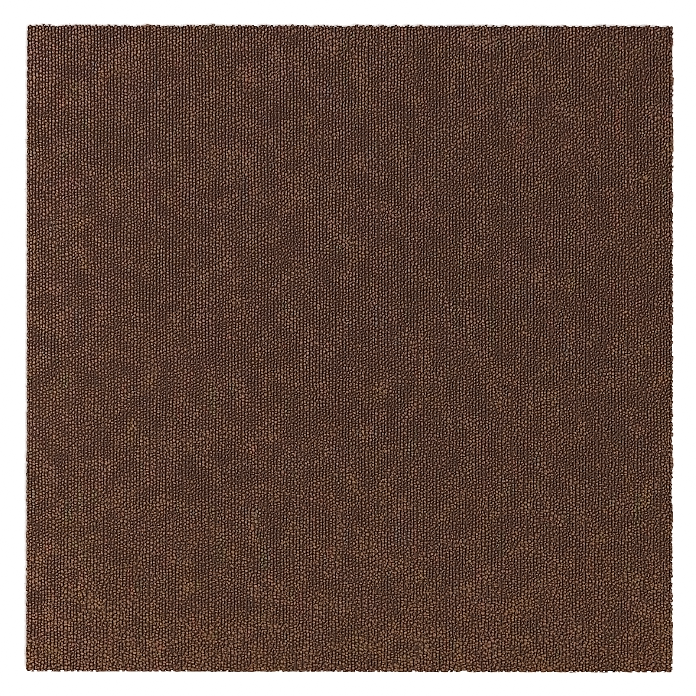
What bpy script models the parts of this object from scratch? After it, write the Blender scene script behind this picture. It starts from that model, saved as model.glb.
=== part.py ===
"""Loop-pile carpet tile: a heavy backing slab, the primary backing cloth, and the tufted pile.

The tile lies on its backing. X runs across the tuft rows, Y along them and Z up, and the origin
is the middle of the underside.
"""

import math

import bmesh
import bpy

# Outline of the die-cut tile, in metres
TILE_WIDTH = 0.500
TILE_LENGTH = 0.500

# Layers, from the floor up, in metres
BACKING_THICKNESS = 0.0024
PRIMARY_THICKNESS = 0.0004
PILE_ROOT = 0.0005
LOOP_RISE = 0.0021

# Room for the bonding film between two layers, in metres
BOND_GAP = 0.0003

# Tuft rows: the tufting gauge, and the groove between the feet of two rows, in metres
ROW_GAUGE = 0.00252
ROW_GROOVE = 0.00030

# Facets across the rounded top of one row
ROW_FACETS = 5

# Finishes: sRGB colour, roughness
PILE_FINISH = ("#593f34", 0.95)
PRIMARY_FINISH = ("#4a4038", 0.90)
BACKING_FINISH = ("#232221", 0.80)


def clear_scene():
    """Removes whatever the scene holds."""
    for obj in list(bpy.data.objects):
        bpy.data.objects.remove(obj, do_unlink=True)


def linear(hex_colour):
    """An sRGB hex colour as linear red, green, blue and alpha."""
    channels = [int(hex_colour[i:i + 2], 16) / 255 for i in (1, 3, 5)]
    return [c / 12.92 if c <= 0.04045 else ((c + 0.055) / 1.055) ** 2.4 for c in channels] + [1.0]


def finish(name, hex_colour, roughness):
    """A plain non-metallic material."""
    material = bpy.data.materials.new(name)
    material.use_nodes = True
    shader = material.node_tree.nodes["Principled BSDF"]
    shader.inputs["Base Color"].default_value = linear(hex_colour)
    shader.inputs["Roughness"].default_value = roughness
    shader.inputs["Metallic"].default_value = 0.0
    return material


def add_object(name, bm, material):
    """Puts a finished mesh into the scene as one object."""
    bmesh.ops.recalc_face_normals(bm, faces=bm.faces)
    mesh = bpy.data.meshes.new(name)
    bm.to_mesh(mesh)
    bm.free()
    mesh.materials.append(material)
    obj = bpy.data.objects.new(name, mesh)
    bpy.context.scene.collection.objects.link(obj)
    return obj


def layer(name, underside, thickness, material):
    """A flat layer of the full tile outline, with its underside at the given height."""
    bm = bmesh.new()
    bmesh.ops.create_cube(bm, size=1.0)
    bmesh.ops.translate(bm, verts=bm.verts, vec=(0, 0, 0.5))
    bmesh.ops.scale(bm, verts=bm.verts, vec=(TILE_WIDTH, TILE_LENGTH, thickness))
    obj = add_object(name, bm, material)
    obj.location.z = underside
    return obj


def row_top(width):
    """The rounded top of one tuft row: (across, height) points from its left foot to its right foot.

    The points lie on a half ellipse, drawn up so that the flat facet in the middle is at full height.
    """
    angles = [math.pi * i / ROW_FACETS for i in range(ROW_FACETS + 1)]
    highest = max(math.sin(angle) for angle in angles)
    return [
        (-width / 2 * math.cos(angle), LOOP_RISE * math.sin(angle) / highest)
        for angle in angles
    ]


def pile(underside, material):
    """The tufted pile: rounded rows of loops, side by side on one closed foot.

    The die has cut the outer rows along their middle, so only their inner half is there. The end section
    is drawn as one face for each row, and then extruded along the rows.
    """
    last_row = round(TILE_WIDTH / ROW_GAUGE)
    pitch = TILE_WIDTH / last_row
    top = row_top(pitch - ROW_GROOVE)
    side = TILE_WIDTH / 2
    cut_height = PILE_ROOT + LOOP_RISE
    end = -TILE_LENGTH / 2
    bm = bmesh.new()

    def point(x, z):
        return bm.verts.new((x, end, z))

    left_low, left_high = point(-side, 0), point(-side, cut_height)
    for row in range(last_row + 1):
        middle = row * pitch - side
        right = side if row == last_row else middle + pitch / 2
        right_low = point(right, 0)
        right_high = point(right, cut_height if row == last_row else PILE_ROOT)
        arch = [
            point(middle + across, PILE_ROOT + height)
            for across, height in top
            if abs(middle + across) < side
        ]
        bm.faces.new([left_low, left_high, *arch, right_high, right_low])
        left_low, left_high = right_low, right_high

    far = bmesh.ops.extrude_face_region(bm, geom=list(bm.faces))
    far_points = [item for item in far["geom"] if isinstance(item, bmesh.types.BMVert)]
    bmesh.ops.translate(bm, verts=far_points, vec=(0, TILE_LENGTH, 0))
    obj = add_object("loop_pile", bm, material)
    obj.location.z = underside
    return obj


def main():
    clear_scene()
    layer("backing", 0, BACKING_THICKNESS, finish("bitumen_compound", *BACKING_FINISH))
    primary_underside = BACKING_THICKNESS + BOND_GAP
    layer("primary_backing", primary_underside, PRIMARY_THICKNESS, finish("primary_cloth", *PRIMARY_FINISH))
    pile_underside = primary_underside + PRIMARY_THICKNESS + BOND_GAP
    pile(pile_underside, finish("loop_yarn", *PILE_FINISH))


if __name__ == "__main__":
    main()
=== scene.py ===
"""Looks of a loop-pile carpet tile: the tufted pile, the cloth it is tufted through, and the heavy backing.

The pile is low uncut loops of two-ply heather yarn in straight rows along Y. Every loop is a copy of one of a
few modelled loops, and a band of rows is joined into one mesh. Lengths are in metres, unless a name ends in
_mm or _px. A spread is a standard deviation.
"""

import logging
import math
from collections.abc import Callable
from dataclasses import dataclass
from enum import Enum

import bpy
import numpy as np
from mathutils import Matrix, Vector


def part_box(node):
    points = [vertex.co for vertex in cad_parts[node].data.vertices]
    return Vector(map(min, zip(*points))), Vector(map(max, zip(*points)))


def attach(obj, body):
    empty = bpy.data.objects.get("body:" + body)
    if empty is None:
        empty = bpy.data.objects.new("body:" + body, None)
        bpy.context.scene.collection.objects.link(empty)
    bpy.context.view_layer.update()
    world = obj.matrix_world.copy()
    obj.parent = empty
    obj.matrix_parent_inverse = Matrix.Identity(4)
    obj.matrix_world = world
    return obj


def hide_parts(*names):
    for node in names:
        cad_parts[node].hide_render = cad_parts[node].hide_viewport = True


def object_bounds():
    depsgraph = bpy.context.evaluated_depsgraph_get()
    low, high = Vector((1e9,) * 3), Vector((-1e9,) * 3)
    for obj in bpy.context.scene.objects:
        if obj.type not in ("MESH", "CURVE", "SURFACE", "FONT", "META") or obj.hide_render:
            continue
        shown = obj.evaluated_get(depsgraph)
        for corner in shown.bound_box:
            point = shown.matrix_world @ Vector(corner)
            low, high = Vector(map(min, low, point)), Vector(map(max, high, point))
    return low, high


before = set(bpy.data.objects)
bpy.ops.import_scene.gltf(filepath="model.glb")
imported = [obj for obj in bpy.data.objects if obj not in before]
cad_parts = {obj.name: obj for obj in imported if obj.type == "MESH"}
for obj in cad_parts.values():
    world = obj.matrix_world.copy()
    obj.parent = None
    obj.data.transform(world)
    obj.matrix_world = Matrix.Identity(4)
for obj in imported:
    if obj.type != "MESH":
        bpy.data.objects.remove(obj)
CAD_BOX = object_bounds()

LOG = logging.getLogger("carpet_tile")
MM = 0.001
BAKE_MAP = "OFBake"
PLACE_ATTRIBUTE = "yarn_place"
COLOUR_ATTRIBUTE = "yarn_colour"

TILE_LOW, TILE_HIGH = CAD_BOX
TILE_WIDTH = TILE_HIGH.x - TILE_LOW.x
TILE_LENGTH = TILE_HIGH.y - TILE_LOW.y
PILE_LOW, PILE_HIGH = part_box("loop_pile")
CLOTH_LOW, CLOTH_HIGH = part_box("primary_backing")
BACKING_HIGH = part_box("backing")[1]

# A Span is a first value and a second one, Terms are (strength, power) pairs, and a Layout holds arrays with
# one value for each copy of a small piece
Piece = bpy.types.Object
Socket = bpy.types.NodeSocket
Tree = bpy.types.NodeTree
Draws = np.random.Generator
Shape = tuple[int, int]
Span = tuple[float, float]
Terms = tuple[tuple[float, float], ...]
Layout = dict[str, np.ndarray]


def total(terms: Terms, place: np.ndarray) -> np.ndarray:
    """Adds up strength times place to a power, over all terms."""
    return sum(strength * place ** power for strength, power in terms)


def between(span: Span, share: np.ndarray) -> np.ndarray:
    """The values that lie a share of the way from a span's first value to its second."""
    return span[0] + share * (span[1] - span[0])


def linear(hex_colour: str) -> tuple[float, float, float, float]:
    """Turns an sRGB hex colour to linear light.

    Args:
        hex_colour: the colour as "#rrggbb".

    Returns:
        Linear red, green, blue and an alpha of 1.
    """
    channels = [int(hex_colour[i:i + 2], 16) / 255 for i in (1, 3, 5)]
    red, green, blue = (c / 12.92 if c <= 0.04045 else ((c + 0.055) / 1.055) ** 2.4 for c in channels)
    return red, green, blue, 1.0


def add_node(
    tree: Tree, kind: str, settings: dict[str, object] | None = None, **inputs: object
) -> bpy.types.Node:
    """Adds a node with its settings, values and links.

    Args:
        tree: the node tree it goes into.
        kind: Blender's node type.
        settings: the node's own settings by name.
        **inputs: by input name, with _ for a space, or i0, i1 and so on for an input's number. Each is a
            socket to link from or a value to set.

    Returns:
        The new node.
    """
    node = tree.nodes.new(kind)
    for name, value in (settings or {}).items():
        setattr(node, name, value)
    for name, value in inputs.items():
        numbered = name[0] == "i" and name[1:].isdigit()
        socket = node.inputs[int(name[1:])] if numbered else node.inputs[name.replace("_", " ")]
        if isinstance(value, Socket):
            tree.links.new(value, socket)
        else:
            socket.default_value = value
    return node


def add_math(tree: Tree, operation: str, *values: Socket | float) -> Socket:
    """Adds a calculation to a material or to the compositor.

    Args:
        tree: the node tree.
        operation: Blender's name of the calculation.
        *values: what goes in, in order.

    Returns:
        The result.
    """
    kind = "CompositorNodeMath" if tree.type == "COMPOSITING" else "ShaderNodeMath"
    inputs = {f"i{number}": value for number, value in enumerate(values)}
    return add_node(tree, kind, {"operation": operation}, **inputs).outputs["Value"]


def add_range(tree: Tree, value: Socket, source: Span, target: Span = (0.0, 1.0)) -> Socket:
    """Maps a value from one range to another, which may run downwards, and keeps it in there."""
    ends = {"From_Min": source[0], "From_Max": source[1], "To_Min": target[0], "To_Max": target[1]}
    return add_node(tree, "ShaderNodeMapRange", Value=value, **ends).outputs["Result"]


def add_noise(tree: Tree, place: Socket, size: float, detail: float, **more: float) -> Socket:
    """Adds noise from 0 to 1, with the size of its coarsest grain and its number of finer ones."""
    node = add_node(tree, "ShaderNodeTexNoise", Vector=place, Scale=1 / size, Detail=detail, **more)
    return node.outputs["Fac"]


def add_ramp(tree: Tree, value: Socket, ends: Span, colours: tuple[str, str]) -> Socket:
    """Adds a ramp between two colours.

    Args:
        tree: the material's node tree.
        value: what runs along the ramp.
        ends: the values with the first and the second colour.
        colours: the two sRGB hex colours.

    Returns:
        The colour.
    """
    node = add_node(tree, "ShaderNodeValToRGB", Fac=value)
    for element, place, colour in zip(node.color_ramp.elements, ends, colours, strict=True):
        element.position = place
        element.color = linear(colour)
    return node.outputs["Color"]


def add_blend(tree: Tree, factor: Socket, first: object, second: object) -> Socket:
    """Blends two colours, with a factor of 0 for the first one and 1 for the second."""
    node = add_node(tree, "ShaderNodeMix", {"data_type": "RGBA"}, Factor=factor, i6=first, i7=second)
    return node.outputs["Result"]


def add_mapping(tree: Tree, place: Socket, **settings: tuple[float, float, float]) -> Socket:
    """Turns or scales a place; the settings are the Mapping node's inputs by name."""
    return add_node(tree, "ShaderNodeMapping", Vector=place, **settings).outputs["Vector"]


def add_tone(tree: Tree, colour: Socket, tone: Socket) -> Socket:
    """Multiplies a colour by a tone."""
    node = add_node(tree, "ShaderNodeVectorMath", {"operation": "SCALE"}, Vector=colour, Scale=tone)
    return node.outputs["Vector"]


@dataclass(frozen=True)
class NewMaterial:
    """A material being made, with its node tree, its Principled shader and the place in the object."""

    material: bpy.types.Material
    tree: Tree
    shader: bpy.types.Node

    @classmethod
    def named(cls, name: str, **values: object) -> "NewMaterial":
        """Starts a material.

        Args:
            name: its name.
            **values: constants of the shader by input name, with _ for a space.

        Returns:
            The started material.
        """
        material = bpy.data.materials.new(name)
        material.use_nodes = True
        shader = material.node_tree.nodes["Principled BSDF"]
        for key, value in values.items():
            shader.inputs[key.replace("_", " ")].default_value = value
        return cls(material, material.node_tree, shader)

    def place(self) -> Socket:
        """The place in the object, in metres."""
        return add_node(self.tree, "ShaderNodeTexCoord").outputs["Object"]

    def set(self, name: str, value: Socket) -> None:
        """Links a value to one of the shader's inputs."""
        self.tree.links.new(value, self.shader.inputs[name])

    def bump(self, height: Socket, strength: float, distance: float) -> None:
        """Raises the surface by a pattern, where 1 stands as high as the distance says."""
        bump = add_node(self.tree, "ShaderNodeBump", Strength=strength, Distance=distance, Height=height)
        self.set("Normal", bump.outputs["Normal"])


class MeshPart(Enum):
    """What is picked in a mesh being modelled."""

    POINTS = "VERT"
    FACES = "FACE"


def deselect_all() -> None:
    """Leaves nothing selected, so that an operator acts on new work only."""
    bpy.ops.object.select_all(action="DESELECT")


def edit_all() -> None:
    """Goes into edit mode, if need be, and selects everything."""
    bpy.ops.object.mode_set(mode="EDIT")
    bpy.ops.mesh.select_all(action="SELECT")


def stop_editing() -> None:
    """Leaves edit mode, so that the mesh can be read."""
    bpy.ops.object.mode_set(mode="OBJECT")


def pick(piece: Piece, part: MeshPart, wanted: Callable[[object], bool]) -> None:
    """Selects some of a mesh's points or faces, and leaves it in edit mode.

    Args:
        piece: the mesh being modelled.
        part: whether points or faces are picked.
        wanted: says whether a point or a face is selected.
    """
    bpy.ops.object.mode_set(mode="EDIT")
    bpy.ops.mesh.select_mode(type=part.value)
    bpy.ops.mesh.select_all(action="DESELECT")
    stop_editing()
    elements = piece.data.vertices if part is MeshPart.POINTS else piece.data.polygons
    for element in elements:
        element.select = wanted(element)
    bpy.ops.object.mode_set(mode="EDIT")


def apply_place() -> None:
    """Moves the active object's place, turn and scale into its mesh."""
    bpy.ops.object.transform_apply(location=True, rotation=True, scale=True)


@dataclass(frozen=True)
class PhotoScale:
    """How the photograph, taken from straight above, lies on the tile."""

    frame_px: float = 696.0
    px_per_mm: float = 1.2908
    centre_px: tuple[float, float] = (349.75, 348.6)

    def across(self, px: float) -> float:
        """The place of a pixel column, to the right of the tile's middle."""
        return (px - self.centre_px[0]) / self.px_per_mm * MM

    def seen(self) -> float:
        """The width of floor that the photograph shows."""
        return self.frame_px / self.px_per_mm * MM

    def middle(self) -> tuple[float, float]:
        """The place on the floor at the middle of the photograph.

        Returns:
            Its X and Y.
        """
        metres_per_px = MM / self.px_per_mm
        right, down = (self.frame_px / 2 - centre for centre in self.centre_px)
        return right * metres_per_px, -down * metres_per_px


def turned(laid: Layout, across: np.ndarray, along: np.ndarray) -> tuple[np.ndarray, np.ndarray]:
    """Turns the points of all copies about Z and moves them to their places.

    Args:
        laid: place and turn of each copy.
        across: the points' places across a copy.
        along: their places along it.

    Returns:
        The points' places in X and Y.
    """
    cos, sin = np.cos(laid["turn"])[:, None], np.sin(laid["turn"])[:, None]
    x = laid["x"][:, None] + across * cos - along * sin
    return x, laid["y"][:, None] + across * sin + along * cos


class LoopForm(Enum):
    """The few ways a tufted loop settles: how far its crown leans along and across the row, in loop sizes."""

    UPRIGHT = (0.00, 0.00)
    LEANING = (0.14, 0.06)
    BACKWARD = (-0.12, -0.08)


@dataclass(frozen=True)
class FormedPiece:
    """The points and faces of one modelled small piece, ready to be copied."""

    points: np.ndarray
    corners: np.ndarray
    starts: np.ndarray

    @classmethod
    def taken_from(cls, piece: Piece) -> "FormedPiece":
        """Reads a modelled mesh, and removes its object.

        Args:
            piece: the modelled mesh.

        Returns:
            Its points and faces.
        """
        mesh = piece.data
        points = np.array([point.co for point in mesh.vertices])
        corners = np.array([loop.vertex_index for loop in mesh.loops])
        starts = np.array([face.loop_start for face in mesh.polygons])
        bpy.data.objects.remove(piece)
        return cls(points, corners, starts)

    def joined(self, name: str, points: np.ndarray) -> Piece:
        """Joins copies of the piece into one smooth mesh.

        Args:
            name: the joined mesh's name.
            points: the points of all copies, copy by copy.

        Returns:
            The joined mesh's object.
        """
        copies, each = points.shape[:2]
        corners = (np.arange(copies)[:, None] * each + self.corners).ravel()
        starts = (np.arange(copies)[:, None] * len(self.corners) + self.starts).ravel()
        mesh = bpy.data.meshes.new(name)
        mesh.vertices.add(copies * each)
        mesh.vertices.foreach_set("co", points.astype(np.float32).ravel())
        mesh.loops.add(len(corners))
        mesh.loops.foreach_set("vertex_index", corners.astype(np.int32))
        mesh.polygons.add(len(starts))
        mesh.polygons.foreach_set("loop_start", starts.astype(np.int32))
        mesh.update(calc_edges=True)
        mesh.shade_smooth()
        piece = bpy.data.objects.new(name, mesh)
        bpy.context.scene.collection.objects.link(piece)
        return piece


@dataclass(frozen=True)
class TuftRows:
    """Where the tuft rows run: a whole number of gauges from the left side to the right.

    The die has cut the outer rows near their middle. The rows bow to the right in the tile's middle, both
    ways, wave a little at the far side, and run a trace askew of the cut. They splay at the near left, the
    left edge is pressed in, and each needle stands a little off its even place.
    """

    gauge_count: int = 198
    shift: float = -0.56 * MM
    bow: float = 0.94 * MM
    far_wave: float = 0.25 * MM
    bow_along: float = 0.3 * MM
    left_bow_along: float = 0.3 * MM
    splay_near: float = 0.6 * MM
    splay_powers: tuple[int, int] = (3, 5)
    pressed_in: Terms = ((0.45 * MM, 60),)
    needle_spread: float = 0.14 * MM
    seed: int = 5
    skew: float = math.radians(0.065)

    def count(self) -> int:
        """How many rows there are, with the cut ones."""
        return self.gauge_count + 1

    def gauge(self) -> float:
        """The distance from one row to the next."""
        return TILE_WIDTH / self.gauge_count

    def aside(self, rightward: np.ndarray, y: np.ndarray) -> np.ndarray:
        """How far the rows stand to the right of their even places.

        Args:
            rightward: the places across the tile, from 0 at its left side to 1 at its right side.
            y: the places along the rows.

        Returns:
            The distances.
        """
        needles = np.random.default_rng(self.seed).normal(0, self.needle_spread, self.count())
        own = np.interp(rightward * self.gauge_count, np.arange(self.count()), needles)
        leftward, farther = np.clip(1 - rightward, 0, 1), y / TILE_LENGTH + 0.5
        bowed = self.bow * np.sin(math.pi * rightward)
        bowed += self.far_wave * farther * np.sin(2 * math.pi * rightward)
        bowed += (self.bow_along + self.left_bow_along * leftward) * np.cos(math.pi * y / TILE_LENGTH)
        left_power, near_power = self.splay_powers
        splayed = self.splay_near * leftward ** left_power * np.clip(1 - farther, 0, 1) ** near_power
        return self.shift + bowed + total(self.pressed_in, leftward) - splayed - self.skew * y + own


@dataclass(frozen=True)
class HeatherYarn:
    """Solution-dyed polyamide heather yarn, bulked, two-ply and heat-set, tufted as uncut loops.

    Bulked filaments scatter light, so it is matt with a faint sheen. The plies cross each loop aslant, with
    painted shade in the groove between them. The colour also has painted shade down at the roots, where the
    loops shade each other, and a little painted light on the crowns.
    """

    roughness: float = 0.95
    sheen: float = 0.04
    specular: float = 0.12
    ply_lay_mm: float = 2.6
    ply_slant: float = 1.1
    filament_mm: float = 0.2
    fleck_mm: float = 1.1
    fleck_depth: float = 0.25
    # How dark the painted shade in the groove between the plies is
    ply_shade_depth: float = 0.25
    # Painted shade at the roots and painted light on the crowns: the rise over which it fades, and the
    # factors at root and crown
    root_rise: float = 0.8 * MM
    root_painted_shade: float = 0.68
    crown_painted_light: float = 1.05

    def material(self) -> bpy.types.Material:
        """Builds the yarn's material, whose colour comes from each loop's own attribute.

        Returns:
            The material.
        """
        new = NewMaterial.named(
            "heather_yarn",
            Roughness=self.roughness,
            Sheen_Weight=self.sheen,
            Specular_IOR_Level=self.specular,
        )
        tree = new.tree
        # The attribute counts in millimetres: x along the yarn, y round it, z a different start for each loop
        place = add_node(tree, "ShaderNodeAttribute", {"attribute_name": PLACE_ATTRIBUTE}).outputs["Vector"]
        colour = add_node(tree, "ShaderNodeAttribute", {"attribute_name": COLOUR_ATTRIBUTE}).outputs["Color"]
        streaks = add_mapping(tree, place, Scale=(1 / self.fleck_mm, 1 / self.filament_mm, 1.0))
        flecks = add_noise(tree, streaks, 1.0, 3.0, Roughness=0.65)
        fleck_tone = add_range(tree, flecks, (0.3, 0.7), (1 - self.fleck_depth, 1 + self.fleck_depth))
        # Painted shade: a dark line in the groove between the two plies, across the loop at every half lay
        lay = (2 * math.pi / self.ply_lay_mm, self.ply_slant, 1.0)
        turns = add_node(tree, "ShaderNodeVectorMath", {"operation": "DOT_PRODUCT"}, i0=place, i1=lay)
        wave = add_math(tree, "SINE", turns.outputs["Value"])
        ply_groove_shade = add_range(tree, wave, (-1.0, 0.2), (1 - 2 * self.ply_shade_depth, 1.0))
        # Painted shade and light: the colour darkens towards the roots and lightens a little at the crowns,
        # by height alone
        height = add_node(tree, "ShaderNodeSeparateXYZ", Vector=new.place()).outputs["Z"]
        depths = (PILE_LOW.z + self.root_rise, PILE_HIGH.z)
        painted_shade_by_height = add_range(tree, height, depths, (self.root_painted_shade, self.crown_painted_light))
        fine = add_math(tree, "MULTIPLY", fleck_tone, ply_groove_shade)
        tone = add_math(tree, "MULTIPLY", fine, painted_shade_by_height)
        new.set("Base Color", add_tone(tree, colour, tone))
        new.bump(fine, strength=0.6, distance=0.2 * MM)
        return new.material


@dataclass(frozen=True)
class YarnPalette:
    """The dyed colours that the heather yarn runs through, and the painted light and shade and warm tint that
    drift over the tile.

    The terms are of the distance from the opposite side, which is 1 at the side that they are named after.
    """

    browns: tuple[str, ...] = ("#624132", "#634231", "#644033", "#624236")
    brown_shares: tuple[float, ...] = (0.4, 0.25, 0.2, 0.15)
    mean_brown_run: float = 1.6
    accents: tuple[str, ...] = ("#6c482a", "#723f34", "#56492f", "#584841")
    accent_share: float = 0.10
    mean_accent_run: float = 3.0
    accent_strength: Span = (0.2, 0.6)
    accent_spill: float = 0.4
    # Painted light and shade over the tile, as (strength, power) terms
    painted_light_left: Terms = ((0.26, 8), (0.10, 1))
    painted_light_right: Terms = ((0.11, 12), (-0.10, 2))
    painted_light_near: Terms = ((0.08, 8), (0.04, 1))
    painted_light_far: Terms = ((0.10, 10),)
    warm_near: Terms = ((0.17, 2),)
    warm_right: Terms = ((0.08, 3),)
    warm_red: float = 0.12
    reds: Span = (-0.022, 0.012)

    def dye(self, draws: Draws, shape: Shape) -> np.ndarray:
        """Chooses the colour of each loop: short runs of browns, and here and there a run of an accent.

        Args:
            draws: the random numbers.
            shape: how many rows, and loops in a row.

        Returns:
            Linear red, green and blue for each row and loop.
        """
        browns = np.array([linear(colour)[:3] for colour in self.browns])
        accents = np.array([linear(colour)[:3] for colour in self.accents])
        run = np.cumsum(draws.random(shape) < 1 / self.mean_brown_run, axis=1)
        shares = np.array(self.brown_shares)
        choice = draws.choice(len(browns), size=(shape[0], shape[1] + 1), p=shares / shares.sum())
        dyed = browns[np.take_along_axis(choice, run, axis=1)]
        begins = draws.random(shape) < self.accent_share / self.mean_accent_run / (1 + self.accent_spill)
        for row, stitch in np.argwhere(begins):
            accent = accents[draws.integers(len(accents))]
            length = draws.geometric(1 / self.mean_accent_run)
            strength = draws.uniform(*self.accent_strength)
            rows_wide = 2 if draws.random() < self.accent_spill else 1
            run_of = dyed[row:row + rows_wide, stitch:stitch + length]
            run_of += strength * (accent - run_of)
        return dyed

    def light_and_tint_drift(self, rightward: np.ndarray, farther: np.ndarray) -> np.ndarray:
        """How the colour drifts over the tile: painted light and shade that make it lighter by its edges, and
        warmer to the near and the right.

        Args:
            rightward: each loop's place, from 0 at the left edge to 1 at the right.
            farther: each loop's place, from 0 at the near edge to 1 at the far one.

        Returns:
            Factors for red, green and blue at each loop.
        """
        leftward, nearer = 1 - rightward, 1 - farther
        # Painted light and shade: the yarn is made lighter or darker by its place on the tile, as uneven
        # light would make it
        by_sides = total(self.painted_light_left, leftward) + total(self.painted_light_right, rightward)
        painted_lightness = np.exp(by_sides + total(self.painted_light_near, nearer) + total(self.painted_light_far, farther))
        warmer = total(self.warm_near, nearer) + total(self.warm_right, rightward)
        redder = self.warm_red * warmer + between(self.reds, rightward)
        return np.stack([painted_lightness * (1 + redder), painted_lightness, painted_lightness * (1 - warmer)], axis=-1)


@dataclass(frozen=True)
class PileLie:
    """How the pile lies from place to place: calmest at the far left, ruffled to the near and the right.

    Strengths are shares of a loop's own size, height or slant.
    """

    ruffled_near: Terms = ((1.0, 2.6),)
    ruffled_right: float = 0.75
    ruffled_far_right: float = 0.3
    most_ruffled: float = 1.6
    fill: float = 0.965
    near_fill: Terms = ((0.20, 4),)
    right_fill: float = -0.03
    shortening: float = 0.20
    right_shortening: float = 0.5
    streak_narrowing: float = 0.08
    streak_lengthening: float = 0.2
    streak_lean: float = 0.6
    near_right_lean: float = -1.2
    left_lean: float = -0.15
    near_left_lean: float = -0.3
    low_left: Terms = ((0.09, 2),)
    low_near: Terms = ((0.135, 3),)
    tall_right: float = 0.09
    tall_middle: float = 0.105

    def ruffling(self, rightward: np.ndarray, farther: np.ndarray, patches: np.ndarray) -> np.ndarray:
        """How ruffled the loops lie, from 0 where the pile is calm.

        Args:
            rightward: the places, from 0 at the left edge to 1 at the right.
            farther: the places, from 0 at the near edge to 1 at the far one.
            patches: what random patches add.

        Returns:
            One value for each place.
        """
        ruffled = total(self.ruffled_near, 1 - farther)
        ruffled += self.ruffled_right * rightward * (1 + self.ruffled_far_right * farther)
        return np.clip(ruffled + patches, 0, self.most_ruffled)

    def shape(self, rightward: np.ndarray, farther: np.ndarray) -> Layout:
        """How wide, long, leaning and high the loops are on average.

        The far right is streaked: its loops are narrower, longer and more aslant.

        Args:
            rightward: the places, from 0 at the left edge to 1 at the right.
            farther: the places, from 0 at the near edge to 1 at the far one.

        Returns:
            Arrays with one value for each place.
        """
        leftward, nearer = 1 - rightward, 1 - farther
        streaked = rightward * farther ** 2
        full = self.fill + total(self.near_fill, nearer) + self.right_fill * rightward
        shortened = self.shortening * (1 - farther * (1 - self.right_shortening * rightward))
        lean = self.streak_lean * streaked + self.near_right_lean * rightward * nearer ** 3
        lean += leftward * (self.left_lean + self.near_left_lean * nearer)
        high = 1 - total(self.low_left, leftward) - total(self.low_near, nearer) + self.tall_right * rightward
        middle = np.sin(math.pi * farther) ** 2 * np.sqrt(np.abs(np.sin(math.pi * rightward)))
        return {
            "wide": full - self.streak_narrowing * streaked,
            "long": full - shortened + self.streak_lengthening * streaked,
            "lean": 1 + lean,
            "high": high + self.tall_middle * middle,
        }


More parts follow.
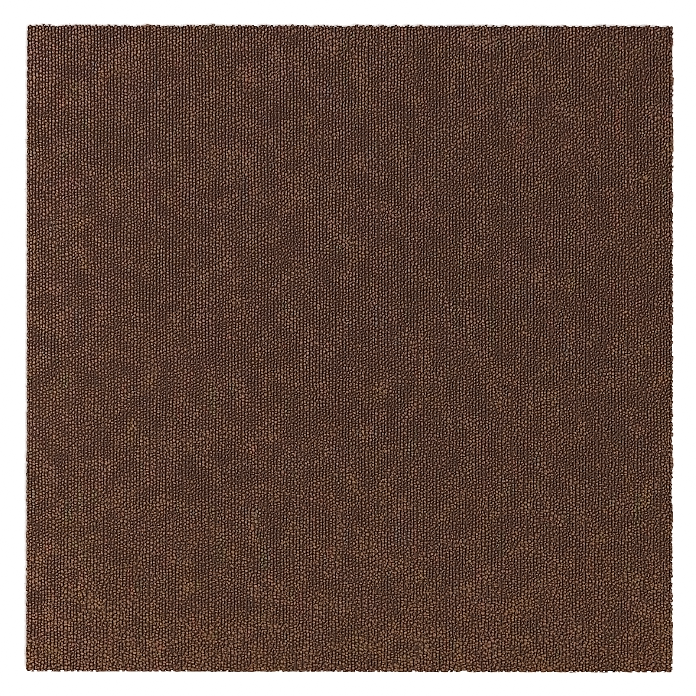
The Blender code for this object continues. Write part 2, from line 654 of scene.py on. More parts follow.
@dataclass
class LoopPile:
    """All the tufted loops, in straight rows along Y, joined band by band.

    A bloom is how far an outer loop may stand out past the die-cut outline. A reach is how many loops away
    two random values still depend on each other.
    """

    tuft_rows: TuftRows = TuftRows()
    lie: PileLie = PileLie()
    palette: YarnPalette = YarnPalette()
    yarn: HeatherYarn = HeatherYarn()
    stitches_long: float = 196.65
    spare_stitches: int = 2
    first_stitch: float = -0.2
    band_count: int = 5
    loop_width: float = 2.26 * MM
    loop_length: float = 2.9 * MM
    shoulders: tuple[float, float, float] = (1.13, 1.06, 1.08)
    shoulder_heights: Span = (0.3, 0.9)
    crown_from: float = 0.6
    root_height: float = 0.5 * MM
    slant: float = math.radians(-20.5)
    slant_spreads: Span = (math.radians(14), math.radians(26))
    across_spreads: Span = (0.08 * MM, 0.36 * MM)
    along_spreads: Span = (0.45 * MM, 0.52 * MM)
    wander_share: float = 0.5
    wander_reach: int = 3
    drifts: tuple[tuple[float, int], ...] = ((0.13 * MM, 12), (0.155 * MM, 3))
    room_limits: Span = (0.7, 1.35)
    width_spread: float = 0.09
    length_spread: float = 0.13
    height_spread: float = 0.11
    tone_spread: float = 0.075
    tint_spreads: Span = (0.024, 0.072)
    tint_reach: int = 4
    ruffle_patches: tuple[float, int] = (0.15, 6)
    patch_reach: int = 2
    patch_tone: float = 0.075
    patch_fill: float = 0.08
    patch_sinking: float = 0.05
    patch_tints: Span = (-0.028, 0.008)
    outer_growth: Span = (0.25, 0.3)
    end_stitches: tuple[int, int] = (2, 3)
    side_blooms: Span = (0.60 * MM, 0.85 * MM)
    near_bloom: float = 0.78 * MM
    far_blooms: Span = (0.4 * MM, 1.0 * MM)
    bloom_spread: float = 0.22 * MM
    near_bloom_spread: float = 0.08 * MM
    far_bloom_spread: float = 0.3 * MM
    corner_radius: float = 2.6 * MM
    start_range_mm: float = 1000.0
    cell_share: float = 0.96
    seed: int = 11

    def model_loop(self, form: LoopForm) -> FormedPiece:
        """Models one loop as a round-backed arch, open below, a unit long, wide and high.

        Args:
            form: how the loop leans.

        Returns:
            Its points and faces.
        """
        deselect_all()
        bpy.ops.mesh.primitive_uv_sphere_add(
            segments=8, ring_count=4, radius=0.5, rotation=(math.radians(90), 0, 0)
        )
        piece = bpy.context.object
        apply_place()
        edit_all()
        bpy.ops.mesh.bisect(plane_co=(0, 0, 0), plane_no=(0, 0, 1), clear_inner=True)
        edit_all()
        bpy.ops.transform.resize(value=(1, 1, 2), center_override=(0, 0, 0))
        # Bulked yarn is squarer than a ball: its shoulders stand out and its ends stay high
        low, high = self.shoulder_heights
        pick(piece, MeshPart.POINTS, lambda point: low < point.co.z < high)
        bpy.ops.transform.resize(value=self.shoulders, center_override=(0, 0, 0))
        pick(piece, MeshPart.POINTS, lambda point: point.co.z > self.crown_from)
        along, across = form.value
        bpy.ops.transform.translate(value=(across, along, 0))
        stop_editing()
        return FormedPiece.taken_from(piece)

    def smoothed(self, rough: np.ndarray, reach: int) -> np.ndarray:
        """Smooths random values along their last axis, so that their spread stays the same.

        Args:
            rough: the values, with a margin of the reach at both ends.
            reach: how far the smoothing reaches.

        Returns:
            The smoothed values, without the margins.
        """
        window = np.hanning(2 * reach + 3)[1:-1]
        window /= math.sqrt((window ** 2).sum())
        return np.array([np.convolve(line, window, mode="valid") for line in rough])

    def patches(self, draws: Draws, shape: Shape, reach: int) -> np.ndarray:
        """Random values that change slowly over the tile, both ways.

        Args:
            draws: the random numbers.
            shape: how many rows, and loops in a row.
            reach: how many loops away two values still depend on each other.

        Returns:
            One value for each row and loop, with a spread of about 1.
        """
        rough = draws.normal(size=(shape[0] + 2 * reach, shape[1] + 2 * reach))
        return self.smoothed(self.smoothed(rough, reach).T, reach).T

    def standing_out(self, rows: np.ndarray, stitches: np.ndarray) -> tuple[np.ndarray, np.ndarray]:
        """How far the loops may stand out past the outline, by the side that they are at.

        Args:
            rows: each loop's row.
            stitches: each loop's place in its row.

        Returns:
            The mean bloom of each loop, and its spread.
        """
        near, far = self.end_stitches
        at_near_end, at_far_end = stitches < near, stitches > stitches.max() - far
        bloom = between(self.side_blooms, rows / self.tuft_rows.gauge_count)
        bloom = np.where(at_near_end, self.near_bloom, bloom)
        bloom = np.where(at_far_end, np.array(self.far_blooms)[rows % 2], bloom)
        spread = np.where(at_near_end, self.near_bloom_spread, self.bloom_spread)
        return bloom, np.where(at_far_end, self.far_bloom_spread, spread)

    def lay_out(self) -> Layout:
        """Chooses each loop's place, turn, size and colour.

        Neighbouring rows are half a stitch apart. The die cuts through the last loops, so that a row starts
        or ends on part of a loop.

        Returns:
            Arrays with one value for each loop, row by row.
        """
        draws = np.random.default_rng(self.seed)
        shape = (self.tuft_rows.count(), math.ceil(self.stitches_long) + self.spare_stitches)
        gauge, stitch = self.tuft_rows.gauge(), TILE_LENGTH / self.stitches_long
        rows, stitches = np.meshgrid(np.arange(shape[0]), np.arange(shape[1]), indexing="ij")
        rightward, farther = rows / self.tuft_rows.gauge_count, stitches / shape[1]

        def noise(spread: float | np.ndarray) -> np.ndarray:
            """One random value for each loop."""
            return spread * draws.normal(0, 1, shape)

        strength, reach = self.ruffle_patches
        ruffled = self.lie.ruffling(rightward, farther, strength * self.patches(draws, shape, reach))
        margins = (shape[0], shape[1] + 2 * self.wander_reach)
        wander = self.smoothed(draws.normal(size=margins), self.wander_reach)
        x = TILE_LOW.x + rows * gauge
        x += between(self.across_spreads, ruffled) * (self.wander_share * wander + noise(1))
        y = TILE_LOW.y + (stitches + self.first_stitch - 0.5 * (rows % 2)) * stitch
        y += noise(between(self.along_spreads, farther ** 2))
        x += self.tuft_rows.aside(rightward, y)
        for spread, reach in self.drifts:
            x += spread * self.patches(draws, shape, reach)
        # A loop fills the room that its neighbours leave it
        room_across = np.clip(np.gradient(x, axis=0) / gauge, *self.room_limits)
        room_along = np.clip(np.gradient(y, axis=1) / stitch, *self.room_limits)
        tone = noise(self.tone_spread)
        fuller = self.patches(draws, shape, self.patch_reach)
        tone += self.patch_tone * fuller
        reddening, yellowing = (
            spread * self.patches(draws, shape, self.tint_reach) + share * fuller
            for spread, share in zip(self.tint_spreads, self.patch_tints, strict=True)
        )
        tint = np.exp(np.stack([tone + reddening, tone, tone - yellowing], axis=-1))
        at_end = np.abs(y) > TILE_LENGTH / 2 - stitch / 2
        outer = (rows == 0) | (rows == shape[0] - 1) | at_end
        wider, longer = (self.patch_fill * fuller + growth * outer for growth in self.outer_growth)
        mean = self.lie.shape(rightward, farther)
        bloom, bloom_spread = self.standing_out(rows, stitches)
        laid = {
            "x": x,
            "y": y,
            "turn": self.slant * mean["lean"] + noise(between(self.slant_spreads, ruffled)),
            "wide": room_across * (mean["wide"] + wider + noise(self.width_spread)),
            "long": room_along * (mean["long"] + longer + noise(self.length_spread)),
            "high": mean["high"] - self.patch_sinking * fuller + noise(self.height_spread),
            "form": draws.integers(0, len(LoopForm), shape),
            "start": draws.random(shape) * self.start_range_mm,
            "bloom": np.maximum(bloom + noise(bloom_spread), 0),
            "row": rows,
            "stitch": stitches,
        }
        # The drift brings painted light and shade over the tile into each loop's colour
        colour = self.palette.dye(draws, shape) * tint * self.palette.light_and_tint_drift(rightward, farther)
        kept = (np.abs(y) < (TILE_LENGTH + self.loop_length) / 2).ravel()
        laid = {name: values.ravel()[kept] for name, values in laid.items()}
        laid["colour"] = colour.reshape(-1, 3)[kept]
        return laid

    def place_copies(self, forms: list[FormedPiece], laid: Layout) -> np.ndarray:
        """Places a copy of a modelled loop at each place of one band, and trims it at the tile's outline.

        Args:
            forms: the modelled loops, which share one set of faces.
            laid: the band's loops.

        Returns:
            The points of all copies, loop by loop.
        """
        base = np.array([form.points for form in forms])[laid["form"]]
        height = PILE_HIGH.z - PILE_LOW.z - self.root_height
        across = base[..., 0] * self.loop_width * laid["wide"][:, None]
        along = base[..., 1] * self.loop_length * laid["long"][:, None]
        rise = base[..., 2] * height * laid["high"][:, None]
        x, y = self.trim(*turned(laid, across, along), laid["bloom"][:, None])
        return np.stack([x, y, PILE_LOW.z + self.root_height + rise], axis=-1)

    def trim(self, x: np.ndarray, y: np.ndarray, bloom: np.ndarray) -> tuple[np.ndarray, np.ndarray]:
        """Pulls points outside the die-cut outline back to it, with rounded corners.

        Args:
            x: the points' places across the rows.
            y: their places along the rows.
            bloom: how far each loop may stand out past the outline.

        Returns:
            The trimmed places.
        """
        radius = self.corner_radius
        past_x = np.abs(x) - (TILE_WIDTH / 2 + bloom - radius)
        past_y = np.abs(y) - (TILE_LENGTH / 2 + bloom - radius)
        at_corner = (past_x > 0) & (past_y > 0)
        distance = np.hypot(past_x, past_y)
        squeeze = np.where(at_corner & (distance > radius), radius / np.maximum(distance, radius), 1.0)
        new_x = np.where(at_corner, past_x * squeeze, np.minimum(past_x, radius)) - past_x
        new_y = np.where(at_corner, past_y * squeeze, np.minimum(past_y, radius)) - past_y
        return x + np.sign(x) * new_x, y + np.sign(y) * new_y

    def write_attributes(self, band: Piece, form: FormedPiece, laid: Layout) -> None:
        """Writes each point's place on its yarn, its colour, and the map that a bake goes through.

        Args:
            band: the joined band.
            form: the upright loop.
            laid: the band's loops.
        """
        mesh = band.data
        copies, each = len(laid["x"]), len(form.points)
        place = np.empty((copies, each, 3))
        place[..., 0] = form.points[:, 1] * self.loop_length / MM
        place[..., 1] = np.arctan2(form.points[:, 0], form.points[:, 2] / 2) * self.loop_width / 2 / MM
        place[..., 2] = laid["start"][:, None]
        attribute = mesh.attributes.new(PLACE_ATTRIBUTE, "FLOAT_VECTOR", "POINT")
        attribute.data.foreach_set("vector", place.astype(np.float32).ravel())
        colour = np.ones((copies, each, 4))
        colour[..., :3] = laid["colour"][:, None, :]
        attribute = mesh.attributes.new(COLOUR_ATTRIBUTE, "FLOAT_COLOR", "POINT")
        attribute.data.foreach_set("color", colour.astype(np.float32).ravel())
        # Each loop has its own cell of the map, side by side as the loops are
        cells = np.stack([laid["row"] - laid["row"].min(), laid["stitch"]], axis=-1)
        inside = cells[:, None, :] + 0.5 + self.cell_share * form.points[:, :2]
        corners = np.empty(len(mesh.loops), dtype=np.int32)
        mesh.loops.foreach_get("vertex_index", corners)
        flat = (inside / (cells.max(axis=0) + 1)).reshape(-1, 2)[corners]
        mesh.uv_layers.new(name=BAKE_MAP).uv.foreach_set("vector", flat.astype(np.float32).ravel())

    def build(self) -> list[Piece]:
        """Models the loops, lays them out and joins them band by band.

        Returns:
            The bands, from left to right.
        """
        forms = [self.model_loop(form) for form in LoopForm]
        laid = self.lay_out()
        material = self.yarn.material()
        band_of = laid["row"] * self.band_count // self.tuft_rows.count()
        bands = []
        for number in range(self.band_count):
            part = {key: values[band_of == number] for key, values in laid.items()}
            band = forms[0].joined(f"loop_rows_{number + 1}", self.place_copies(forms, part))
            self.write_attributes(band, forms[0], part)
            band.data.materials.append(material)
            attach(band, "root")
            bands.append(band)
            LOG.info("%s: %d loops, %d faces", band.name, len(part["x"]), len(band.data.polygons))
        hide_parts("loop_pile")
        return bands


@dataclass
class TuftBed:
    """The loops' feet, packed in rows and bound in latex, dark partly from the latex and partly as painted
    shade down in the grooves.
    """

    tuft_rows: TuftRows = TuftRows()
    foot_gap: float = 0.02 * MM
    ridge_height: float = 0.95 * MM
    ridge_bevel: float = 0.7 * MM
    inset: float = 0.05 * MM
    clot_size: float = 1.3 * MM
    # Dark root colours: partly the latex and partly painted shade of the grooves
    shaded_root_colours: tuple[str, str] = ("#38231a", "#4c3428")

    def material(self) -> bpy.types.Material:
        """Yarn roots wetted with latex precoat: dull and clotted from stitch to stitch, dark partly from the
        latex and partly as painted shade of the grooves.

        Returns:
            The material.
        """
        new = NewMaterial.named("latex_roots_painted_shade", Roughness=0.85, Specular_IOR_Level=0.2)
        clots = add_noise(new.tree, new.place(), self.clot_size, 3.0)
        # The ramp's dark colours are partly painted shade of the grooves between the loops
        new.set("Base Color", add_ramp(new.tree, clots, (0.35, 0.65), self.shaded_root_colours))
        new.bump(clots, strength=0.6, distance=0.3 * MM)
        return new.material

    def build(self) -> Piece:
        """Models one row's foot as a rounded ridge, repeats it over the tile, and cuts it as the die does.

        Returns:
            The bed.
        """
        gauge = self.tuft_rows.gauge()
        foot = CLOTH_HIGH.z + self.foot_gap
        top = PILE_LOW.z + self.ridge_height
        deselect_all()
        bpy.ops.mesh.primitive_cube_add(size=1.0, location=(TILE_LOW.x, 0, (foot + top) / 2))
        bed = bpy.context.object
        bed.name = "tuft_bed"
        bed.scale = (gauge, TILE_LENGTH - 2 * self.inset, top - foot)
        apply_place()
        pick(bed, MeshPart.FACES, lambda face: face.normal.z > 0.9)
        bpy.ops.mesh.bevel(offset=self.ridge_bevel, segments=2, profile=0.6)
        pick(bed, MeshPart.FACES, lambda face: abs(face.normal.x) > 0.99)
        bpy.ops.mesh.delete(type="FACE")
        stop_editing()
        rows = bed.modifiers.new("rows", "ARRAY")
        rows.count = self.tuft_rows.count()
        rows.use_relative_offset = False
        rows.use_constant_offset = True
        rows.constant_offset_displace = (gauge, 0, 0)
        rows.use_merge_vertices = True
        rows.merge_threshold = 0.01 * MM
        bpy.ops.object.modifier_apply(modifier=rows.name)
        for point in bed.data.vertices:
            rightward = (point.co.x - TILE_LOW.x) / TILE_WIDTH
            point.co.x += self.tuft_rows.aside(rightward, point.co.y)
        for side in (-1, 1):
            cut = (side * (TILE_WIDTH / 2 - self.inset), 0, 0)
            edit_all()
            bpy.ops.mesh.bisect(plane_co=cut, plane_no=(side, 0, 0), clear_outer=True)
        edit_all()
        bpy.ops.mesh.fill_holes(sides=0)
        stop_editing()
        bed.data.materials.append(self.material())
        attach(bed, "root")
        LOG.info("%s: %d ridges, %d faces", bed.name, self.tuft_rows.count(), len(bed.data.polygons))
        return bed


@dataclass(frozen=True)
class FleeceBackedCompound:
    """Bitumen compound filled with ground chalk, cast hot on a thin glass fleece that lies on the underside.

    The sides are die-cut through the compound, so they are dull, with pale filler grains. The fleece shows as
    short criss-cross fibres, half drowned in the black.
    """

    compound: tuple[str, str] = ("#1b1a1a", "#2b2928")
    filler: str = "#5d5a56"
    fleece: tuple[str, str] = ("#242321", "#3d3b37")
    grain: float = 0.35 * MM
    filler_size: float = 0.9 * MM
    fibre: Span = (4.5 * MM, 0.28 * MM)
    fibre_turns: Span = (math.radians(35), math.radians(-52))
    fleece_fades: Span = (0.04 * MM, 0.12 * MM)
    fleece_depth: float = 0.08 * MM

    def fibres(self, tree: Tree, place: Socket, angle: float) -> Socket:
        """Adds one lay of long thin fibres.

        Args:
            tree: the material's node tree.
            place: the place in metres.
            angle: which way the fibres lie.

        Returns:
            How much fibre there is, from 0 to 1.
        """
        length, width = self.fibre
        angled = add_mapping(tree, place, Rotation=(0.0, 0.0, angle))
        drawn = add_mapping(tree, angled, Scale=(1 / length, 1 / width, 1.0))
        return add_range(tree, add_noise(tree, drawn, 1.0, 1.0, Distortion=0.4), (0.52, 0.66))

    def material(self) -> bpy.types.Material:
        """Builds the material: compound everywhere, and fleece over the lowest tenth of a millimetre.

        Returns:
            The material.
        """
        new = NewMaterial.named("fleece_backed_bitumen_compound", Specular_IOR_Level=0.35)
        tree, place = new.tree, new.place()
        grain = add_noise(tree, place, self.grain, 4.0)
        cast = add_ramp(tree, grain, (0.35, 0.65), self.compound)
        grains = add_node(tree, "ShaderNodeTexVoronoi", Vector=place, Scale=1 / self.filler_size)
        speck = add_range(tree, grains.outputs["Distance"], (0.1, 0.22), (0.8, 0.0))
        filled = add_blend(tree, speck, cast, linear(self.filler))
        lays = add_math(tree, "MAXIMUM", *(self.fibres(tree, place, turn) for turn in self.fibre_turns))
        fleece = add_ramp(tree, lays, (0.0, 1.0), self.fleece)
        height = add_node(tree, "ShaderNodeSeparateXYZ", Vector=place).outputs["Z"]
        under = add_range(tree, height, self.fleece_fades, (1.0, 0.0))
        new.set("Base Color", add_blend(tree, under, filled, fleece))
        new.set("Roughness", add_range(tree, grain, (0.0, 1.0), (0.62, 0.9)))
        new.bump(add_math(tree, "MULTIPLY_ADD", lays, under, grain), strength=0.7, distance=self.fleece_depth)
        return new.material


@dataclass(frozen=True)
class TapeCloth:
    """Woven polypropylene tape cloth, the primary backing, in a plain weave of flat slit tapes."""

    warp_width: float = 1.06 * MM
    weft_width: float = 1.58 * MM
    warp_colour: str = "#4a4038"
    weft_colour: str = "#5a4d41"
    fibril: float = 0.08 * MM

    def material(self) -> bpy.types.Material:
        """Builds the material: warp over weft and weft over warp in turn, with fine fibrils on the tapes.

        Returns:
            The material.
        """
        new = NewMaterial.named("woven_polypropylene_tape", Roughness=0.55)
        tree, place = new.tree, new.place()
        parts = add_node(tree, "ShaderNodeSeparateXYZ", Vector=place).outputs
        # A half wave is one tape wide, so the product of both waves changes sign from crossing to crossing
        waves = (
            add_math(tree, "SINE", add_math(tree, "MULTIPLY", parts[axis], math.pi / width))
            for axis, width in (("X", self.warp_width), ("Y", self.weft_width))
        )
        crossing = add_math(tree, "MULTIPLY", *waves)
        warp_up = add_range(tree, crossing, (-0.08, 0.08))
        woven = add_blend(tree, warp_up, linear(self.weft_colour), linear(self.warp_colour))
        fibrils = add_range(tree, add_noise(tree, place, self.fibril, 2.0), (0.0, 1.0), (0.7, 1.25))
        new.set("Base Color", add_tone(tree, woven, fibrils))
        new.bump(add_math(tree, "ABSOLUTE", crossing), strength=0.8, distance=0.12 * MM)
        return new.material


@dataclass
class BondCoat:
    """The film of soft compound between the slab and the cloth, pressed out unevenly towards the cut edge."""

    overlap: float = 0.02 * MM
    inset: float = 0.35 * MM
    edge_points: int = 100
    edge_wander: float = 0.2 * MM
    ripple_size: float = 2.2 * MM
    colours: tuple[str, str] = ("#191716", "#332d29")
    seed: int = 4

    def material(self) -> bpy.types.Material:
        """Bitumen bond coat: black-brown, a little glossy, with a slow ripple from the press roller.

        Returns:
            The material.
        """
        new = NewMaterial.named("bitumen_bond_coat")
        ripple = add_noise(new.tree, new.place(), self.ripple_size, 3.0)
        new.set("Base Color", add_ramp(new.tree, ripple, (0.35, 0.7), self.colours))
        new.set("Roughness", add_range(new.tree, ripple, (0.0, 1.0), (0.4, 0.7)))
        new.bump(ripple, strength=0.5, distance=0.1 * MM)
        return new.material

    def build(self) -> Piece:
        """Models the film: a square outline, roughened point by point, filled and given its thickness.

        Returns:
            The film.
        """
        foot = BACKING_HIGH.z - self.overlap
        top = CLOTH_LOW.z + self.overlap
        deselect_all()
        bpy.ops.mesh.primitive_plane_add(size=TILE_WIDTH - 2 * self.inset, location=(0, 0, foot))
        film = bpy.context.object
        film.name = "bond_coat"
        apply_place()
        edit_all()
        bpy.ops.mesh.delete(type="ONLY_FACE")
        edit_all()
        bpy.ops.mesh.subdivide(number_cuts=self.edge_points)
        bpy.ops.transform.vertex_random(offset=self.edge_wander, seed=self.seed)
        bpy.ops.transform.resize(value=(1, 1, 0), center_override=(0, 0, foot))
        bpy.ops.mesh.edge_face_add()
        bpy.ops.mesh.extrude_region_move(TRANSFORM_OT_translate={"value": (0, 0, top - foot)})
        edit_all()
        bpy.ops.mesh.normals_make_consistent(inside=False)
        stop_editing()
        film.data.materials.append(self.material())
        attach(film, "root")
        LOG.info("%s: %d faces", film.name, len(film.data.polygons))
        return film


@dataclass
class LooseFibres:
    """Fuzz pulled out of the pile: fine filaments round the cut edges and on top, and a few cut yarn ends.

    The yarn ends stand at the far edge towards the right, where the photograph shows them. Shares are of the
    tile's width and length.
    """

    edge_count: int = 150
    far_count: int = 70
    edge_share: float = 0.49
    edge_out: Span = (0.1 * MM, 0.7 * MM)
    edge_roots: Span = (PILE_LOW.z + 0.7 * MM, PILE_HIGH.z - 0.5 * MM)
    edge_turn_spread: float = math.radians(38.0)
    edge_lift: float = math.radians(8.0)
    edge_lift_spread: float = math.radians(22.0)
    top_count: int = 420
    top_share: float = 0.495
    top_roots: Span = (PILE_HIGH.z - 0.5 * MM, PILE_HIGH.z - 0.2 * MM)
    top_lifts: Span = (math.radians(10.0), math.radians(70.0))
    top_length: float = 1.04 * MM
    filament_length: float = 1.3 * MM
    length_spread: float = 0.35
    slimness: float = 0.13
    taper: float = 0.72
    bend: float = 0.07
    joints: int = 4
    end_places_px: tuple[float, ...] = (621.3, 626.2, 633.6, 639.5, 660.2)
    end_turns: tuple[float, ...] = (24.0, -27.0, 31.0, 22.0, 27.0)
    end_length: float = 2.6 * MM
    end_inset: float = 0.3 * MM
    end_root: float = PILE_HIGH.z - 1.2 * MM
    end_lift: float = math.radians(14.0)
    shade_size: float = 1.7 * MM
    colours: tuple[str, str] = ("#33231c", "#6b4a3a")
    seed: int = 23
    scale: PhotoScale = PhotoScale()

    def model_fibre(self) -> FormedPiece:
        """Models one filament, a unit long, drawn out of a small ring joint by joint, bent and tapered.

        Returns:
            Its points and faces.
        """
        deselect_all()
        bpy.ops.mesh.primitive_circle_add(
            vertices=5, radius=self.slimness / 2, rotation=(math.radians(90), 0, 0)
        )
        fibre = bpy.context.object
        apply_place()
        edit_all()
        aside = 0.0
        for joint in range(1, self.joints + 1):
            shift = self.bend * joint / self.joints
            aside += shift
            bpy.ops.mesh.extrude_region_move(
                TRANSFORM_OT_translate={"value": (shift, 1 / self.joints, shift / 2)}
            )
            bpy.ops.transform.resize(
                value=(self.taper,) * 3, center_override=(aside, joint / self.joints, aside / 2)
            )
        bpy.ops.mesh.merge(type="CENTER")
        stop_editing()
        return FormedPiece.taken_from(fibre)

    def place_copies(self, fibre: FormedPiece, laid: Layout) -> np.ndarray:
        """Places a copy of the filament at each place.

        Args:
            fibre: the modelled filament.
            laid: root place, turn from +Y, lift and length of each copy.

        Returns:
            The points of all copies, copy by copy.
        """
        across, along, up = (fibre.points[:, axis] * laid["length"][:, None] for axis in range(3))
        cos_lift, sin_lift = np.cos(laid["lift"])[:, None], np.sin(laid["lift"])[:, None]
        out = along * cos_lift - up * sin_lift
        rise = along * sin_lift + up * cos_lift
        return np.stack([*turned(laid, across, out), laid["z"][:, None] + rise], axis=-1)

    def edge_fuzz(self, draws: Draws) -> Layout:
        """Chooses where the filaments round the edges stand: on each side, and more at the far one.

        Args:
            draws: the random numbers.

        Returns:
            Root place, turn, lift and length of each filament.
        """
        count = self.edge_count + self.far_count
        side = np.where(np.arange(count) < self.edge_count, draws.integers(0, 4, count), 0)
        along = draws.uniform(-self.edge_share, self.edge_share, count) * TILE_WIDTH
        out = TILE_LENGTH / 2 + draws.uniform(*self.edge_out, count)
        facing = np.radians(90.0) * side
        return {
            "x": along * np.cos(facing) - out * np.sin(facing),
            "y": along * np.sin(facing) + out * np.cos(facing),
            "z": draws.uniform(*self.edge_roots, count),
            "turn": facing + draws.normal(0, self.edge_turn_spread, count),
            "lift": draws.normal(self.edge_lift, self.edge_lift_spread, count),
            "length": self.filament_length * np.exp(draws.normal(0, self.length_spread, count)),
        }

    def top_fuzz(self, draws: Draws) -> Layout:
        """Chooses where the filaments on top of the pile stand.

        Args:
            draws: the random numbers.

        Returns:
            Root place, turn, lift and length of each filament.
        """
        count = self.top_count
        return {
            "x": draws.uniform(-self.top_share, self.top_share, count) * TILE_WIDTH,
            "y": draws.uniform(-self.top_share, self.top_share, count) * TILE_LENGTH,
            "z": draws.uniform(*self.top_roots, count),
            "turn": draws.uniform(0, 2 * math.pi, count),
            "lift": draws.uniform(*self.top_lifts, count),
            "length": self.top_length * np.exp(draws.normal(0, self.length_spread, count)),
        }

    def yarn_ends(self) -> Layout:
        """Places the few cut yarn ends at the far edge.

        Returns:
            Root place, turn, lift and length of each yarn end.
        """
        count = len(self.end_places_px)
        return {
            "x": np.array([self.scale.across(place) for place in self.end_places_px]),
            "y": np.full(count, TILE_LENGTH / 2 - self.end_inset),
            "z": np.full(count, self.end_root),
            "turn": np.radians(self.end_turns),
            "lift": np.full(count, self.end_lift),
            "length": np.full(count, self.end_length),
        }

    def material(self) -> bpy.types.Material:
        """Loose polyamide filaments: the yarn's browns, shaded from fibre to fibre, with a soft sheen.

        Returns:
            The material.
        """
        new = NewMaterial.named("loose_filaments", Roughness=0.8, Sheen_Weight=0.15)
        shade = add_noise(new.tree, new.place(), self.shade_size, 2.0)
        new.set("Base Color", add_ramp(new.tree, shade, (0.38, 0.62), self.colours))
        return new.material

    def build(self) -> Piece:
        """Models one filament and joins all its copies.

        Returns:
            The joined fuzz.
        """
        draws = np.random.default_rng(self.seed)
        fibre = self.model_fibre()
        groups = [self.edge_fuzz(draws), self.top_fuzz(draws), self.yarn_ends()]
        laid = {key: np.concatenate([group[key] for group in groups]) for key in groups[0]}
        fuzz = fibre.joined("loose_fibres", self.place_copies(fibre, laid))
        fuzz.data.materials.append(self.material())
        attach(fuzz, "root")
        LOG.info("%s: %d fibres, %d faces", fuzz.name, len(laid["x"]), len(fuzz.data.polygons))
        return fuzz


def dress_cad_nodes() -> None:
    """Gives the CAD slab and cloth, which stay as they are, their finishes."""
    finishes = {"backing": FleeceBackedCompound(), "primary_backing": TapeCloth()}
    for name, finish in finishes.items():
        material = finish.material()
        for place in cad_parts[name].material_slots:
            place.material = material
        LOG.info("%s: %s", name, material.name)


@dataclass(frozen=True)
class CrispPicture:
    """The compositor: it sharpens the picture's lightness and softens its colour, as for a product picture.

    Its sums are done on display values, so the light is turned to them first and back at the end.
    """

    gamma: float = 2.2
    floor_from: float = 0.9
    rim_px: int = 3
    rim_from: float = 0.01
    rim_cap: float = 0.42
    lift: float = 10.0
    sharpenings: tuple[tuple[str, float], ...] = (("SHARPEN", 0.172), ("SHARPEN_DIAMOND", 0.39))
    toe: float = -0.02
    toe_width: float = 0.28
    colour_blur_px: int = 4

    def mix(self, tree: Tree, kind: str, share: Socket | float, first: object, second: object) -> Socket:
        """Mixes two pictures in one of Blender's ways, as far as the share says."""
        node = add_node(tree, "CompositorNodeMixRGB", {"blend_type": kind}, i0=share, i1=first, i2=second)
        return node.outputs["Image"]

    def blur(self, tree: Tree, picture: Socket, kind: str, reach_px: int) -> Socket:
        """Blurs a picture with one of Blender's kinds of blur."""
        settings = {"filter_type": kind, "size_x": reach_px, "size_y": reach_px}
        return add_node(tree, "CompositorNodeBlur", settings, Image=picture).outputs["Image"]

    def capped(self, tree: Tree, lightness: Socket) -> Socket:
        """Caps the lightness near the white floor, or the filters would draw a rim there.

        Args:
            tree: the compositor's node tree.
            lightness: the picture's lightness.

        Returns:
            The lightness that the filters see.
        """
        on_floor = add_math(tree, "GREATER_THAN", lightness, self.floor_from)
        spread_out = self.blur(tree, on_floor, "FLAT", self.rim_px)
        near_floor = add_math(tree, "GREATER_THAN", spread_out, self.rim_from)
        capped = add_math(tree, "MINIMUM", lightness, self.rim_cap)
        return self.mix(tree, "MIX", near_floor, lightness, capped)

    def build(self) -> None:
        """Sets the compositor's nodes."""
        scene = bpy.context.scene
        scene.use_nodes = True
        tree = scene.node_tree
        tree.nodes.clear()
        layers = add_node(tree, "CompositorNodeRLayers")
        display = add_node(tree, "CompositorNodeGamma", Image=layers.outputs["Image"], Gamma=1 / self.gamma)
        shown = self.mix(tree, "DARKEN", 1.0, display.outputs["Image"], linear("#ffffff"))
        lightness = add_node(tree, "CompositorNodeRGBToBW", Image=shown).outputs["Val"]
        # The filters cut off below zero, so they get the picture lifted well above it
        lifted = add_math(tree, "ADD", self.capped(tree, lightness), self.lift)
        crisp = lightness
        for kernel, share in self.sharpenings:
            sharp = add_node(tree, "CompositorNodeFilter", {"filter_type": kernel}, Image=lifted)
            detail = self.mix(tree, "SUBTRACT", 1.0, sharp.outputs["Image"], lifted)
            crisp = self.mix(tree, "ADD", share, crisp, detail)
        # The darkest parts level out softly, just under black
        toed = add_math(tree, "SMOOTH_MAX", crisp, self.toe, self.toe_width)
        colour = self.mix(tree, "SUBTRACT", 1.0, shown, lightness)
        soft_colour = self.blur(tree, colour, "GAUSS", self.colour_blur_px)
        whole = self.mix(tree, "ADD", 1.0, toed, soft_colour)
        light = add_node(tree, "CompositorNodeGamma", Image=whole, Gamma=self.gamma)
        add_node(tree, "CompositorNodeComposite", Image=light.outputs["Image"])


@dataclass(frozen=True)
class SoftLight:
    """A square soft light that faces the tile."""

    name: str
    place: tuple[float, float, float]
    side: float
    watts: float

    def hang(self) -> None:
        """Hangs the light."""
        data = bpy.data.lights.new(self.name, "AREA")
        data.shape = "SQUARE"
        data.size = self.side
        data.energy = self.watts
        light = bpy.data.objects.new(self.name, data)
        light.location = self.place
        light.rotation_euler = Vector(self.place).to_track_quat("Z", "Y").to_euler()
        bpy.context.scene.collection.objects.link(light)


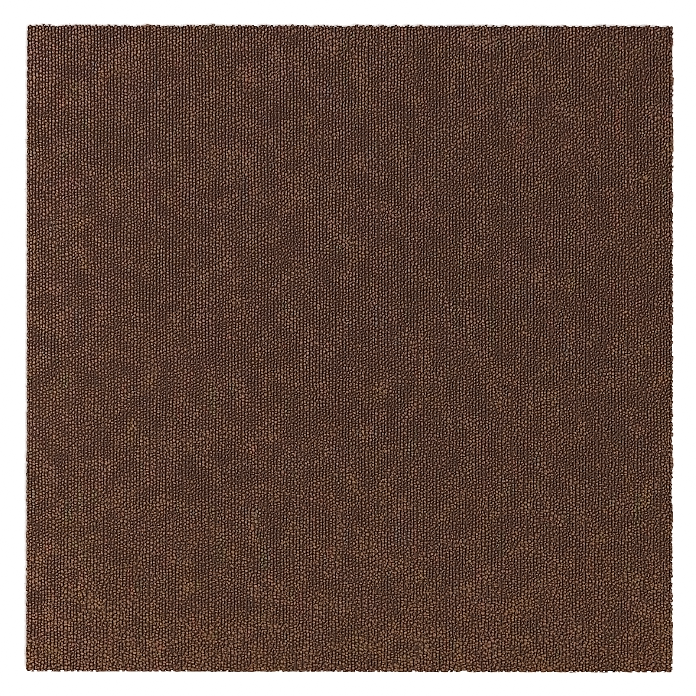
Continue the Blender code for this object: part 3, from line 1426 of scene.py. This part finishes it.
@dataclass
class Studio:
    """Pale floor, soft lights and the camera looking straight down."""

    scale: PhotoScale = PhotoScale()
    picture: CrispPicture = CrispPicture()
    key: SoftLight = SoftLight("key", (1.35, -1.02, 2.95), 1.8, 102.0)
    fill: SoftLight = SoftLight("fill", (-1.15, 0.83, 2.0), 1.6, 27.5)
    air_strength: float = 0.495
    roll: float = math.radians(0.09)
    lens_mm: float = 85.0
    sensor_mm: float = 36.0
    clip_end: float = 10.0
    floor_side: float = 8.0
    floor_colour: str = "#fafafa"

    def camera(self) -> None:
        """Places the camera so that the tile fills the frame as in the photograph."""
        data = bpy.data.cameras.new("camera")
        data.lens = self.lens_mm
        data.sensor_width = self.sensor_mm
        data.clip_end = self.clip_end
        camera = bpy.data.objects.new("camera", data)
        bpy.context.scene.collection.objects.link(camera)
        above = self.scale.seen() / self.sensor_mm * self.lens_mm
        camera.location = (*self.scale.middle(), TILE_HIGH.z + above)
        camera.rotation_euler = (0, 0, self.roll)
        bpy.context.scene.camera = camera

    def floor(self) -> None:
        """Lays a wide plain floor under the tile."""
        deselect_all()
        bpy.ops.mesh.primitive_plane_add(size=self.floor_side, location=(0, 0, 0))
        floor = bpy.context.object
        floor.name = "floor"
        new = NewMaterial.named("white_paper_floor", Base_Color=linear(self.floor_colour), Roughness=0.9)
        floor.data.materials.append(new.material)

    def build(self) -> None:
        """Sets the stage."""
        scene = bpy.context.scene
        scene.view_settings.view_transform = "Standard"
        world = bpy.data.worlds.new("studio")
        world.use_nodes = True
        background = world.node_tree.nodes["Background"]
        background.inputs["Color"].default_value = linear("#ffffff")
        background.inputs["Strength"].default_value = self.air_strength
        scene.world = world
        scene.cycles.pixel_filter_type = "BOX"
        self.key.hang()
        self.fill.hang()
        self.floor()
        self.camera()
        self.picture.build()


def main() -> None:
    """Builds the tile's pieces in order, from the bed up, and then the studio."""
    logging.basicConfig(level=logging.INFO, format="%(message)s")
    dress_cad_nodes()
    BondCoat().build()
    TuftBed().build()
    LoopPile().build()
    LooseFibres().build()
    Studio().build()


if __name__ == "__main__":
    main()
